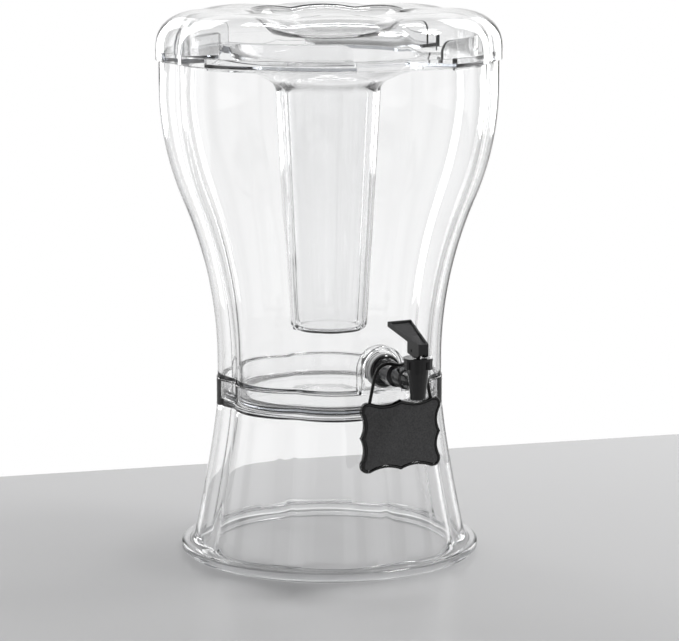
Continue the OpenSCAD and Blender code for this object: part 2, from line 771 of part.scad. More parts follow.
// Turns of the return spring, between the stem's collar and the bonnet's roof
function coil(z0, pitch) = [for (i = [0 : spring_turns * coil_rings])
  let(a = 360 * i / coil_rings) [for (j = [0 : coil_sides - 1])
    let(b = -360 * j / coil_sides, r = spring_r + spring_wire_r * cos(b))
      [r * cos(a), r * sin(a), z0 + pitch * i / coil_rings + spring_wire_r * sin(b)]]];

// A closed tube through rings of points
module tube(rings) {
  n = len(rings[0]);
  m = len(rings);
  polyhedron(points = [for (r = rings) each r],
    faces = [[for (i = [0 : n - 1]) i], each [for (j = [0 : m - 2]) each band(j, j + 1, n)],
      [for (i = [n - 1 : -1 : 0]) (m - 1) * n + i]]);
}
module return_spring() {
  room = body_top_z - spring_z - 2 * spring_wire_r;
  color(steel_colour) at_spout() tube(coil(spring_z + spring_wire_r, room / spring_turns));
}

// Silicone cup that closes the valve seat
module seat_cup() {
  color(silicone_colour) at_spout() translate([0, 0, seat_z]) difference() {
    cylinder(h = cup_h, r = chamber_r - cup_gap);
    translate([0, 0, cup_sole]) cylinder(h = cup_h, r = stem_foot_r);
  }
}

// Stem: foot in the seat cup, spring collar, rod through the bonnet and an eye for the hinge pin
module stem() {
  color(black_colour) at_spout() difference() {
    union() {
      translate([0, 0, seat_z + cup_sole]) cylinder(h = cup_h - cup_sole, r = stem_foot_r);
      translate([0, 0, collar_disc_z]) cylinder(h = collar_disc_t, r = chamber_r - disc_gap);
      translate([0, 0, collar_disc_z]) cylinder(h = pin_z - collar_disc_z, r = stem_r);
      translate([-eye_t / 2, 0, pin_z]) rotate([0, 90, 0]) cylinder(h = eye_t, r = eye_r);
    }
    translate([-eye_t, 0, pin_z]) rotate([0, 90, 0]) cylinder(h = 2 * eye_t, r = pin_r + run_gap);
  }
}

// Side view of the lever round the hinge pin: y away from the tap is negative.
// Its lower front is a cam that keeps its gap to the bonnet while the lever turns and the stem rises.
function cam_point(turn) = let(a = -90 - turn, h = pin_rise - cam_gap + lift_per_radian * turn * PI / 180)
  [h * cos(a) + lift_per_radian * sin(a), h * sin(a) - lift_per_radian * cos(a)];
lever_front = cam_point(lever_turn)[0];
function lever_top(y) = block_rise + (y - lever_front) * tan(paddle_slope);
function lever_w(y) = mix(block_w, paddle_w, (y - lever_front) / (paddle_l - lever_front));
module lever_side() {
  polygon([[block_back, cam_gap - pin_rise + block_slant], [block_back, lever_top(block_back) - paddle_t],
    [paddle_l, lever_top(paddle_l) - paddle_t], [paddle_l, lever_top(paddle_l)], [lever_front, block_rise],
    for (i = [cam_steps : -1 : 0]) cam_point(lever_turn * i / cam_steps)]);
}

// The lever from above: narrow at its front and wide at the paddle's tip
module lever_plan(inset) {
  front_w = block_w / 2 - inset;
  tip_w = paddle_w / 2 - inset;
  polygon([[-front_w, lever_front + inset], [front_w, lever_front + inset],
    [tip_w, paddle_l - inset], [-tip_w, paddle_l - inset]]);
}

// Room for the stem's eye, and below it for the stem while the lever turns
module eye_slot(r) {
  low = -90 - lever_turn;
  side = r * [cos(low - 90), sin(low - 90)];
  circle(r);
  polygon([[r, 0], [r, -far], far * [cos(low), sin(low)] + side, side]);
}

// The sunk face's side view, from its floor upwards
module sunk_side() {
  polygon([[lever_front, block_rise - paddle_sink], [paddle_l, lever_top(paddle_l) - paddle_sink],
    [paddle_l, far], [lever_front, far]]);
}

// A side view made w wide, to both sides of the tap's middle plane
module side_slab(w) {
  translate([-w / 2, 0, 0]) rotate([90, 0, 90]) linear_extrude(w) children();
}
module plan_slab() {
  translate([0, 0, -far]) linear_extrude(2 * far) children();
}

// Lever: wedge with a slot for the stem's eye, and a sloping paddle with a sunk face
module lever() {
  color(black_colour) at_spout() translate([0, 0, pin_z]) difference() {
    intersection() {
      side_slab(far) lever_side();
      plan_slab() lever_plan(0);
    }
    side_slab(eye_t + 2 * eye_gap) eye_slot(eye_r + eye_gap);
    side_slab(far) circle(pin_r);
    intersection() {
      side_slab(far) sunk_side();
      plan_slab() lever_plan(paddle_rim);
    }
  }
}

// Hinge pin, held in the lever's cheeks
module lever_pin() {
  pin_l = lever_w(-pin_r);
  color(black_colour) at_spout() translate([-pin_l / 2, 0, pin_z]) rotate([0, 90, 0])
    cylinder(h = pin_l, r = pin_r);
}

// Outline of the sign, drawn in by an inset: rounded corners, and two hollow curves along each edge
function hollow_r(half) = (half * half + sign_hollow * sign_hollow) / (2 * sign_hollow);
module edge_hollows(long, side, inset) {
  quarter = (long / 2 - sign_corner) / 2;
  r = hollow_r(quarter);
  for (s = [-1, 1], t = [-1, 1]) translate([s * quarter, t * (side / 2 + r - sign_hollow)])
    circle(r + inset, $fn = 2 * $fn);
}
module sign_outline(inset) {
  difference() {
    union() {
      for (s = [-1, 1], t = [-1, 1]) translate([s * (sign_w / 2 - sign_round), t * (sign_h / 2 - sign_round)])
        circle(sign_round - inset);
      square([sign_w - 2 * sign_round, sign_h - 2 * inset], center = true);
      square([sign_w - 2 * inset, sign_h - 2 * sign_round], center = true);
    }
    edge_hollows(sign_w, sign_h, inset);
    rotate(90) edge_hollows(sign_h, sign_w, inset);
  }
}

// Stands a flat outline in the sign's plane; its height is measured forwards from the sign's back
module in_sign_plane() {
  translate([0, cord_inset - cord_y, tap_z - sign_drop]) rotate([90, 0, 0]) children();
}

// Black plaque with a raised rim, a pocket for the panel and two holes for the cord's ends
module sign_frame() {
  tip = cord_half[0];
  dir = cord_half[1] - cord_half[0];
  lean = atan(dir[0] / dir[1]);
  color(black_colour) difference() {
    in_sign_plane() difference() {
      linear_extrude(sign_t) sign_outline(0);
      translate([0, 0, sign_t - panel_sink]) linear_extrude(panel_sink + over) sign_outline(sign_rim);
    }
    for (s = [-1, 1]) translate([-s * tip[0], -cord_y, tap_z + tip[1]]) rotate([0, -s * lean, 0])
      cylinder(h = sign_h / 2, r = cord_r + cord_gap);
  }
}

// Chalk face in the frame's pocket
module sign_panel() {
  color(chalk_colour) in_sign_plane() translate([0, 0, sign_t - panel_sink]) linear_extrude(panel_t)
    sign_outline(sign_rim + panel_gap);
}

// Cord from one hole over the barrel to the other; each ring lies square to the way the cord runs
function route_dir(i) = let(d = cord_route[min(len(cord_route) - 1, i + 1)] - cord_route[max(0, i - 1)])
  d / norm(d);
module sign_cord() {
  rings = [for (i = [0 : len(cord_route) - 1]) let(p = cord_route[i], d = route_dir(i))
    [for (j = [0 : cord_sides - 1]) let(b = 360 * j / cord_sides)
      [p[0] - cord_r * cos(b) * d[1], -cord_y - cord_r * sin(b), tap_z + p[1] + cord_r * cos(b) * d[0]]]];
  color(black_colour) tube(rings);
}

pedestal();
vessel();
ice_core();
lid();
tap_body();
front_washer();
rear_washer();
lock_nut();
bonnet();
stem_seal();
return_spring();
seat_cup();
stem();
lever();
lever_pin();
sign_frame();
sign_panel();
sign_cord();
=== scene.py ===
"""Looks for a clear plastic drink dispenser: a lobed vessel, pedestal, ice tube and lid,
with a black lever tap and a small chalk sign that hangs on the tap.

Sizes are in millimetres, as in the part's source. A mesh is made in metres, in the frame's own place.
"""

import json
import math

import bmesh
import bpy
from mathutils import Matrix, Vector


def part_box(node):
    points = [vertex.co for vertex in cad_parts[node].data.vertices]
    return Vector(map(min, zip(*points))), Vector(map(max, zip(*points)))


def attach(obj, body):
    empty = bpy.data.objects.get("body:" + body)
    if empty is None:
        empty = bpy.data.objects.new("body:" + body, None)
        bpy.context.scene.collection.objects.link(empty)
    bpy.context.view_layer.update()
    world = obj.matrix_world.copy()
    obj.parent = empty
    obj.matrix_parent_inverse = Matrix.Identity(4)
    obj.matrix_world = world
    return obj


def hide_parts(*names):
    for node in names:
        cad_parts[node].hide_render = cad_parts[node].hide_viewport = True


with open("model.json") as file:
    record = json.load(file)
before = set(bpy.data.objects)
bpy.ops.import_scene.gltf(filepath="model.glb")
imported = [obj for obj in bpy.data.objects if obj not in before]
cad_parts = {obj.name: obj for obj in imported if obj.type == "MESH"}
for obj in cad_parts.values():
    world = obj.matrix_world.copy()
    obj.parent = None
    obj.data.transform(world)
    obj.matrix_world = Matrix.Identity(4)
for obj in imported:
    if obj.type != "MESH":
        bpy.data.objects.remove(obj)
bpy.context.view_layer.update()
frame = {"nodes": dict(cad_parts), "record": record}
nodes = frame["nodes"]
scene = bpy.context.scene
MM = 0.001


def low_mm(node):
    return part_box(node)[0] / MM


def high_mm(node):
    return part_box(node)[1] / MM


# Camera: the photograph's view, from the left of the tap and a little above the lid

CAMERA_TURN = math.radians(-27.5)
CAMERA_DISTANCE = 2300
CAMERA_SIDE = 8.5
CAMERA_HEIGHT = 604
CAMERA_PITCH = math.radians(10.03)
CAMERA_LENS = 146.5

BACKWARDS = Vector((math.sin(CAMERA_TURN), -math.cos(CAMERA_TURN), 0))
SIDEWAYS = Vector((math.cos(CAMERA_TURN), math.sin(CAMERA_TURN), 0))


def seen_from_camera(side, away, up):
    """A place in metres, from millimetres to the camera's right, past the object's axis, and up."""
    return (SIDEWAYS * side - BACKWARDS * away + Vector((0, 0, up))) * MM


def make_camera():
    camera = bpy.data.objects.new("camera", bpy.data.cameras.new("camera"))
    scene.collection.objects.link(camera)
    camera.location = seen_from_camera(CAMERA_SIDE, -CAMERA_DISTANCE, CAMERA_HEIGHT)
    camera.rotation_euler = (math.pi / 2 - CAMERA_PITCH, 0, CAMERA_TURN)
    camera.data.lens = CAMERA_LENS
    scene.camera = camera


# Materials

CLEAR_TINT = (0.755, 0.765, 0.78, 1)
TAP_COLOUR = (0.016, 0.016, 0.017, 1)
SIGN_COLOUR = (0.005, 0.005, 0.005, 1)
CHALK_DARK, CHALK_PALE = (0.023, 0.023, 0.0235, 1), (0.155, 0.155, 0.158, 1)
SILICONE_COLOUR = (0.9, 0.9, 0.9, 1)
SILICONE_DEPTH = 2
STEEL_COLOUR = (0.62, 0.62, 0.63, 1)
CORD_COLOUR = (0.008, 0.008, 0.008, 1)


class Shader:
    """A material's nodes, with short calls to add and join them."""

    def __init__(self, name):
        self.material = bpy.data.materials.new(name)
        self.material.use_nodes = True
        self.tree = self.material.node_tree
        self.surface = self.tree.nodes["Principled BSDF"]
        self.output = self.tree.nodes["Material Output"]

    def set(self, **values):
        for name, value in values.items():
            self.surface.inputs[name.replace("_", " ")].default_value = value
        return self

    def add(self, kind, links=None, **settings):
        node = self.tree.nodes.new(kind)
        for name, value in settings.items():
            if hasattr(node, name):
                setattr(node, name, value)
            else:
                node.inputs[name.replace("_", " ")].default_value = value
        for name, socket in (links or {}).items():
            self.join(socket, node.inputs[name])
        return node

    def join(self, a, b):
        self.tree.links.new(a, b)

    def texture(self, kind, **settings):
        place = self.add("ShaderNodeTexCoord").outputs["Object"]
        return self.add(kind, {"Vector": place}, **settings).outputs["Fac"]

    def noise(self, scale, detail=2.0):
        return self.texture("ShaderNodeTexNoise", Scale=scale, Detail=detail)

    def roughness(self, value, low, high):
        """Roughness from low to high, as a texture's value goes from 0 to 1."""
        spread = self.add("ShaderNodeMapRange", {"Value": value}, To_Min=low, To_Max=high)
        self.join(spread.outputs["Result"], self.surface.inputs["Roughness"])

    def relief(self, height, depth):
        """Bumps of a depth in millimetres."""
        bump = self.add("ShaderNodeBump", {"Height": height}, Strength=1.0, Distance=depth * MM)
        self.join(bump.outputs["Normal"], self.surface.inputs["Normal"])


def clear_plastic(name, waviness, density, shade):
    """Faintly wavy clear plastic; light that goes on to other surfaces passes straight, times shade."""
    s = Shader(name).set(Base_Color=(1, 1, 1, 1), Transmission_Weight=1.0, IOR=1.49)
    s.roughness(s.noise(40), 0.0, 0.03)
    s.relief(s.noise(14, 1.0), waviness)
    light = s.add("ShaderNodeLightPath").outputs
    rays = {0: light["Is Shadow Ray"], 1: light["Is Diffuse Ray"]}
    straight = s.add("ShaderNodeMath", rays, operation="MAXIMUM").outputs[0]
    through = s.add("ShaderNodeBsdfTransparent", Color=(shade, shade, shade, 1)).outputs[0]
    mixed = s.add("ShaderNodeMixShader", {0: straight, 1: s.surface.outputs[0], 2: through})
    s.join(mixed.outputs[0], s.output.inputs["Surface"])
    tint = s.add("ShaderNodeVolumeAbsorption", Color=CLEAR_TINT, Density=density)
    s.join(tint.outputs[0], s.output.inputs["Volume"])
    return s.material


def gloss_black(name, colour, patches, grain):
    """Glossy moulded plastic; patches of gloss and the grain are texture scales."""
    s = Shader(name).set(Base_Color=colour, IOR=1.5, Specular_IOR_Level=0.45)
    s.roughness(s.noise(patches), 0.1, 0.18)
    s.relief(s.noise(grain), 0.004)
    return s.material


def chalk_face():
    s = Shader("chalk_face").set(IOR=1.4)
    grain = s.noise(800, 4.0)
    colour = s.add("ShaderNodeValToRGB", {"Fac": grain})
    for element, shade in zip(colour.color_ramp.elements, (CHALK_DARK, CHALK_PALE)):
        element.color = shade
    s.join(colour.outputs["Color"], s.surface.inputs["Base Color"])
    s.roughness(grain, 0.6, 0.85)
    s.relief(grain, 0.06)
    return s.material


def silicone():
    s = Shader("silicone").set(Base_Color=SILICONE_COLOUR, IOR=1.42, Subsurface_Weight=0.3)
    s.set(Subsurface_Radius=[SILICONE_DEPTH * MM] * 3)
    s.roughness(s.noise(400), 0.35, 0.5)
    return s.material


def steel():
    s = Shader("steel").set(Base_Color=STEEL_COLOUR, Metallic=1.0)
    s.roughness(s.noise(900), 0.2, 0.35)
    return s.material


def cord_black():
    s = Shader("cord_black").set(Base_Color=CORD_COLOUR, Specular_IOR_Level=0.3)
    braid = s.texture("ShaderNodeTexWave", bands_direction="DIAGONAL", Scale=420.0, Distortion=1.0)
    s.roughness(braid, 0.25, 0.4)
    s.relief(braid, 0.04)
    return s.material


CLEAR = clear_plastic("clear_plastic", waviness=0.1, density=25.0, shade=0.95)
CLEAR_FOOT = clear_plastic("clear_foot", waviness=0.1, density=25.0, shade=0.9)
CLEAR_CORE = clear_plastic("clear_core", waviness=0.3, density=50.0, shade=0.95)
BLACK = gloss_black("black_plastic", TAP_COLOUR, patches=220, grain=700)
SIGN_BLACK = gloss_black("sign_black", SIGN_COLOUR, patches=200, grain=600)
CHALK = chalk_face()
SILICONE = silicone()
STEEL = steel()
CORD = cord_black()


def paint(piece, material):
    piece.data.materials.clear()
    piece.data.materials.append(material)


def finish_piece(piece, node, material):
    """The piece stands for a CAD node, on the node's body, with the material it is given."""
    paint(piece, material)
    body = next(name for name, members in frame["record"]["behaviour"]["bodies"].items() if node in members)
    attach(piece, body)
    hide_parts(node)


# Meshes

SMOOTH_BELOW = math.radians(38)


def add_object(name, mesh):
    piece = bpy.data.objects.new(name, mesh)
    scene.collection.objects.link(piece)
    return piece


def smooth(mesh):
    mesh.polygons.foreach_set("use_smooth", [True] * len(mesh.polygons))
    mesh.set_sharp_from_angle(angle=SMOOTH_BELOW)


def mesh_from(name, points, faces):
    """A mesh in metres from points in millimetres, with its faces turned outwards."""
    mesh = bpy.data.meshes.new(name)
    mesh.from_pydata([Vector(p) * MM for p in points], [], faces)
    work = bmesh.new()
    work.from_mesh(mesh)
    bmesh.ops.recalc_face_normals(work, faces=work.faces)
    work.to_mesh(mesh)
    work.free()
    smooth(mesh)
    return mesh


def combine(name, base, others, operation):
    """Base takes the mesh of a boolean operation with each of the others, which are used up."""
    for other in others:
        step = base.modifiers.new("step", "BOOLEAN")
        step.operation = operation
        step.solver = "MANIFOLD"
        step.object = other
    graph = bpy.context.evaluated_depsgraph_get()
    mesh = bpy.data.meshes.new_from_object(base.evaluated_get(graph))
    mesh.name = name
    base.modifiers.clear()
    base.data = mesh
    for other in others:
        bpy.data.objects.remove(other)
    smooth(mesh)


def steps(count):
    return [i / count for i in range(count + 1)]


def mix(a, b, t):
    return a + (b - a) * t


def bend(a, b, c, t):
    return mix(mix(a, b, t), mix(b, c, t), t)


def swing(a, b, c, d, t):
    return mix(bend(a, b, c, t), bend(b, c, d, t), t)


def fillet(corners, count=6):
    """Points along a line through corners (r, z, rounding); a corner with no rounding stays sharp."""
    line = []
    for i, (r, z, rounding) in enumerate(corners):
        here = Vector((r, z))
        if rounding == 0 or i == 0 or i == len(corners) - 1:
            line.append((r, z))
            continue
        before = (Vector(corners[i - 1][:2]) - here).normalized()
        after = (Vector(corners[i + 1][:2]) - here).normalized()
        half = math.acos(max(-1, min(1, before.dot(after)))) / 2
        reach = rounding / math.tan(half)
        start, end = here + before * reach, here + after * reach
        for t in steps(count):
            p = start * (1 - t) ** 2 + here * 2 * t * (1 - t) + end * t * t
            line.append((p.x, p.y))
    return line


def fillet_inside(corners):
    """The same line without its two end points, which other lines give."""
    return fillet(corners)[1:-1]


def closed_fillet(corners, count):
    """A closed outline with rounded corners."""
    ring = [corners[-1]] + corners + [corners[0]]
    return fillet(ring, count)[1:-1]


def loop_mesh(name, loops):
    """A solid through closed loops of points, with a flat face at each end."""
    n = len(loops[0])
    faces = [(j * n + i, (j + 1) * n + i, (j + 1) * n + (i + 1) % n, j * n + (i + 1) % n)
             for j in range(len(loops) - 1) for i in range(n)]
    faces += [tuple(range(n)), tuple(range((len(loops) - 1) * n, len(loops) * n))]
    return add_object(name, mesh_from(name, [p for loop in loops for p in loop], faces))


def turned_ring(name, outline, count=256):
    """A ring turned round the axis from a closed outline of (r, z)."""
    n = len(outline)
    turns = [2 * math.pi * i / count for i in range(count)]
    points = [(r * math.cos(a), r * math.sin(a), z) for a in turns for r, z in outline]
    faces = []
    for i in range(count):
        j = (i + 1) % count
        for k in range(n):
            m = (k + 1) % n
            faces.append((i * n + k, j * n + k, j * n + m, i * n + m))
    return add_object(name, mesh_from(name, points, faces))


def sector(name, middle, half, outline, count=40):
    """A solid swept round the axis; outline(angle from the middle, angle) gives its (r, z) points."""
    loops = []
    for t in steps(count):
        off = mix(-half, half, t)
        angle = middle + off
        loops.append([(r * math.cos(angle), r * math.sin(angle), z) for r, z in outline(off, angle)])
    return loop_mesh(name, loops)


def rod_along_y(name, r, y0, y1, z, count=96):
    turns = [2 * math.pi * i / count for i in range(count)]
    return loop_mesh(name, [[(r * math.cos(a), y, z + r * math.sin(a)) for a in turns] for y in (y0, y1)])


def arch_along_y(name, r, y0, y1, z, low_z, rounding, count=64):
    """A round arch on straight sides that stand on low_z, with rounded edges."""
    line = fillet([(0, y0, 0), (r, y0, rounding), (r, y1, rounding), (0, y1, 0)], 5)[1:-1]
    turns = [math.pi * i / count for i in range(count + 1)]

    def loop(d, y):
        return [(d, y, low_z), *[(d * math.cos(a), y, z + d * math.sin(a)) for a in turns], (-d, y, low_z)]

    return loop_mesh(name, [loop(d, y) for d, y in line])


# Lobes, as in the part's source, with softened creases

LOBES = 8
LOBE_TURN = math.pi / LOBES
POINTS_ROUND = LOBES * 36
CREASE_SOFT = math.radians(1.6)
WAIST_CREASE, RIM_CREASE, FOOT_CREASE, CORE_CREASE = 0.925, 0.955, 0.945, 0.955
ANGLES = [2 * math.pi * i / POINTS_ROUND for i in range(POINTS_ROUND)]


def lobe(angle, crease):
    """Radius at an angle, as a share of the lobe's own radius."""
    if crease == 1:
        return 1.0
    from_crease = abs((angle + LOBE_TURN) % (2 * LOBE_TURN) - LOBE_TURN)
    off = max(0.0, LOBE_TURN - math.hypot(from_crease, CREASE_SOFT))
    c = (1 - crease * crease) / (2 * (1 - crease * math.cos(LOBE_TURN)))
    return c * math.cos(off) + math.sqrt((1 - c) ** 2 - (c * math.sin(off)) ** 2)


def crease_share(angle):
    return (1 - lobe(angle, WAIST_CREASE)) / (1 - WAIST_CREASE)


def rings(line, crease):
    """Rings through points (r, z), with one crease and no dip."""
    return [(r, z, crease, 0) for r, z in line]


def lobed_wall(name, profile, closed=False):
    """A wall through rings (r, z, crease, dip).

    A closed one comes back to its first ring, and an open one has its two ends on the axis.
    """
    n = POINTS_ROUND
    points, faces = [], []
    for r, z, crease, dip in profile:
        for a in ANGLES:
            s = r * lobe(a, crease)
            points.append((s * math.cos(a), s * math.sin(a), z - dip * crease_share(a)))
    count = len(profile)
    for j in range(count if closed else count - 1):
        k = (j + 1) % count
        for i in range(n):
            m = (i + 1) % n
            faces.append((j * n + i, k * n + i, k * n + m, j * n + m))
    if not closed:
        for ring in (0, count - 1):
            z = profile[ring][1]
            points.append((0, 0, z))
            for i in range(n):
                faces.append((len(points) - 1, ring * n + i, ring * n + (i + 1) % n))
    return add_object(name, mesh_from(name, points, faces))


# Pedestal

PEDESTAL_H = high_mm("pedestal").z
COLLAR_R, PEDESTAL_WALL = 95.8, 3.2
POCKET_D, LEDGE_T, LEDGE_W = 18, 4, 18.6
SKIRT_FOOT_R, SKIRT_BEND_R, SKIRT_BEND_Z = 117.6, 98.5, 95
FOOT_R = high_mm("pedestal").x
FOOT_H, FOOT_FLAT_H, FOOT_LIFT, FOOT_LIP, SKIRT_SINK = 10.5, 5.8, 3, 2, 2.3
LEDGE_Z = PEDESTAL_H - POCKET_D
COLLAR_Z = LEDGE_Z - LEDGE_T
EDGE_ROUND, POCKET_FILLET, LEDGE_ROUND, FOOT_ROUND = 1.1, 1.5, 1.2, 0.8
UNDER_FILLET, UNDER_EASE = 2.5, 0.7
FLANGE_SINK, FLANGE_LAP, FLANGE_BEADS = 0.2, 1, 1.5
BEAD_FULL = 0.99
SKIRT_START = 3

# From the bead in to the skirt: out from the skirt's foot, up from the bead's top, and the crease there
FOOT_FILLET = [(0.8, 0.3, 0.98), (-0.4, 0.9, 0.96), (-1.3, 2, FOOT_CREASE)]


def pedestal_crease(z):
    return mix(FOOT_CREASE, WAIST_CREASE, min(1, max(0, z / COLLAR_Z)))


def skirt_point(t):
    z0 = FOOT_FLAT_H - SKIRT_SINK
    return bend(SKIRT_FOOT_R, SKIRT_BEND_R, COLLAR_R, t), bend(z0, SKIRT_BEND_Z, COLLAR_Z, t)


def make_foot(flange_r, bead):
    """The round foot: a ring that stands on the floor, with the bead round it."""
    inner_r = SKIRT_FOOT_R * FOOT_CREASE - PEDESTAL_WALL - FOOT_LIP
    bead_round = BEAD_FULL * bead
    lap_r = flange_r - FLANGE_LAP
    outline = closed_fillet([(inner_r, 0, FOOT_ROUND), (SKIRT_FOOT_R, 0, FOOT_ROUND),
                             (SKIRT_FOOT_R, FOOT_LIFT, FOOT_ROUND), (FOOT_R, FOOT_LIFT, bead_round),
                             (FOOT_R, FOOT_H, bead_round), (lap_r, FOOT_H, 0),
                             (lap_r, FOOT_FLAT_H, 0), (inner_r, FOOT_FLAT_H, FOOT_ROUND)], 8)
    return turned_ring("foot", outline)


def make_pedestal():
    skirt = [skirt_point(t) for t in steps(36)]
    bead = (FOOT_H - FOOT_LIFT) / 2
    flange_r = FOOT_R - FLANGE_BEADS * bead
    inner_r = COLLAR_R - PEDESTAL_WALL
    ledge_r = inner_r - LEDGE_W
    collar = fillet_inside([(COLLAR_R, COLLAR_Z, 0), (COLLAR_R, PEDESTAL_H, EDGE_ROUND),
                            (inner_r, PEDESTAL_H, EDGE_ROUND), (inner_r, LEDGE_Z, POCKET_FILLET),
                            (ledge_r, LEDGE_Z, 0)])
    ledge = fillet_inside([(inner_r, LEDGE_Z, 0), (ledge_r, LEDGE_Z, LEDGE_ROUND),
                           (ledge_r, COLLAR_Z, LEDGE_ROUND), (inner_r, COLLAR_Z, 0)])
    under = [(inner_r - UNDER_FILLET, COLLAR_Z), (inner_r - UNDER_EASE, COLLAR_Z - UNDER_EASE)]
    profile = rings([(flange_r, FOOT_LIFT + bead / 2), (flange_r, FOOT_H - FLANGE_SINK)], 1)
    profile += [(SKIRT_FOOT_R + out, FOOT_H + up, crease, 0) for out, up, crease in FOOT_FILLET]
    profile += [(r, z, pedestal_crease(z), 0) for r, z in skirt if z > FOOT_H + SKIRT_START]
    profile += rings(collar, WAIST_CREASE)
    profile += rings(ledge, 1)
    profile += rings(under, WAIST_CREASE)
    profile += [(r - PEDESTAL_WALL, z, pedestal_crease(z), 0) for r, z in reversed(skirt)
                if z < COLLAR_Z - UNDER_FILLET]
    piece = lobed_wall("clear_pedestal", profile, closed=True)
    combine("clear_pedestal", piece, [make_foot(flange_r, bead)], "UNION")
    finish_piece(piece, "pedestal", CLEAR_FOOT)


# Vessel

VESSEL_WALL, FLOOR_T, FLOOR_BEVEL = 3.2, 3.5, 6
COLLAR_STEP, SEAT_GAP, PLUG_GAP = 0.8, 0.4, 0.5
FLARE_START, FLARE_END, TAP_RISE, BOSS_PROUD = 13.5, 24.5, 19.5, 1
WAIST_R = COLLAR_R - COLLAR_STEP
RIM_R, TURN_R = 142, 122.9
RIM_Z = high_mm("vessel").z
SHOULDER_Z = PEDESTAL_H + SEAT_GAP
FLARE_LOW, FLARE_HIGH = PEDESTAL_H + FLARE_START, RIM_Z - FLARE_END
PLUG_R = COLLAR_R - PEDESTAL_WALL - PLUG_GAP
FLOOR_Z = LEDGE_Z + FLOOR_T
FLARE_ANGLE = 2 * math.atan((RIM_R - WAIST_R) / (FLARE_HIGH - FLARE_LOW))
HOLLOW_ARC = (TURN_R - WAIST_R) / (1 - math.cos(FLARE_ANGLE))
FULL_ARC = (RIM_R - TURN_R) / (1 - math.cos(FLARE_ANGLE))
TURN_Z = FLARE_LOW + HOLLOW_ARC * math.sin(FLARE_ANGLE)
BOSS_R, BOSS_FACE = 20, WAIST_R + BOSS_PROUD
BOSS_INNER, BOSS_ROOT = BOSS_FACE - VESSEL_WALL, WAIST_R * WAIST_CREASE - VESSEL_WALL
BORE_R = 8.15
TAP_Z = PEDESTAL_H + TAP_RISE
SHOULDER_FILLET, SHOULDER_ROUND, STEP_ROUND = 0.6, 0.8, 2
BOSS_ROUND, HOLLOW_ROUND = 1.2, 1.0
HOLLOW_PAST, BORE_PAST = 10, 5


def vessel_r(z):
    if z <= FLARE_LOW:
        return WAIST_R
    if z <= TURN_Z:
        return WAIST_R + HOLLOW_ARC - math.sqrt(HOLLOW_ARC ** 2 - (z - FLARE_LOW) ** 2)
    if z <= FLARE_HIGH:
        return RIM_R - FULL_ARC + math.sqrt(FULL_ARC ** 2 - (FLARE_HIGH - z) ** 2)
    return RIM_R


def vessel_crease(z):
    return mix(WAIST_CREASE, RIM_CREASE, max(0, (z - SHOULDER_Z) / (RIM_Z - SHOULDER_Z)))


def make_vessel():
    w = VESSEL_WALL
    heights = [mix(FLARE_LOW, FLARE_HIGH, t) for t in steps(60)]
    flare = [(vessel_r(z), z, vessel_crease(z)) for z in heights]
    plug = fillet_inside([(0, LEDGE_Z, 0), (PLUG_R, LEDGE_Z, FLOOR_BEVEL),
                          (PLUG_R, SHOULDER_Z, SHOULDER_FILLET), (WAIST_R, SHOULDER_Z, SHOULDER_ROUND),
                          (WAIST_R, FLARE_LOW, 0)])
    rim = fillet_inside([(RIM_R, FLARE_HIGH, 0), (RIM_R, RIM_Z, EDGE_ROUND), (RIM_R - w, RIM_Z, EDGE_ROUND),
                         (RIM_R - w, FLARE_HIGH, 0)])
    inside = fillet_inside([(WAIST_R - w, FLARE_LOW, 0),
                            (WAIST_R - w, SHOULDER_Z + WAIST_R - PLUG_R, STEP_ROUND),
                            (PLUG_R - w, SHOULDER_Z, STEP_ROUND), (PLUG_R - w, FLOOR_Z, FLOOR_BEVEL),
                            (0, FLOOR_Z, 0)])
    profile = rings(plug, WAIST_CREASE)
    profile += [(r, z, crease, 0) for r, z, crease in flare]
    profile += rings(rim, RIM_CREASE)
    profile += [(r - w, z, crease, 0) for r, z, crease in reversed(flare)]
    profile += rings(inside, WAIST_CREASE)
    piece = lobed_wall("clear_vessel", profile)
    boss = arch_along_y("boss", BOSS_R, -BOSS_FACE, -BOSS_ROOT, TAP_Z, SHOULDER_Z, BOSS_ROUND)
    combine("clear_vessel", piece, [boss], "UNION")
    hollow = arch_along_y("hollow", BOSS_R - w, -BOSS_INNER, -BOSS_ROOT + HOLLOW_PAST, TAP_Z, SHOULDER_Z + w,
                          HOLLOW_ROUND)
    bore = rod_along_y("bore", BORE_R, -BOSS_FACE - BORE_PAST, -BOSS_INNER + BORE_PAST, TAP_Z)
    combine("clear_vessel", piece, [hollow, bore], "DIFFERENCE")
    finish_piece(piece, "vessel", CLEAR)


# Ice tube, with the bell, ring, arms, lugs and finger tabs that it hangs by

CORE_WALL, CORE_TIP_R, CORE_TOP_R, CORE_BEVEL = 2.2, 31.5, 43, 5
CORE_TIP_Z = low_mm("ice_core").z
LUG_T, LUG_W, ARM_T, LIP_H = 7, 5.5, 2.5, 3
BELL_H, BELL_R, BELL_RIM, BELL_BEND = 29.5, 80, 4.5, 0.34
LID_GAP = 0.4
LUG_Z = RIM_Z + LUG_T
ARM_Z, ARM_TOP_Z = RIM_Z, RIM_Z + ARM_T
BELL_Z, BELL_TOP_Z = ARM_Z - BELL_H, ARM_Z + ARM_T / 2
ARM_COUNT, ARM_ANGLE = 4, math.radians(53)
TAB_IN, TAB_T, TAB_H, TAB_ROUND = 16, 2.5, 16.5, 8
TAB_R = RIM_R - TAB_IN
ARM_ROUND, LUG_ROUND, LIP_FILLET, RING_ROUND = 0.3, 0.5, 0.2, 0.4
RING_SINK, TAB_INSET = 0.05, 0.002


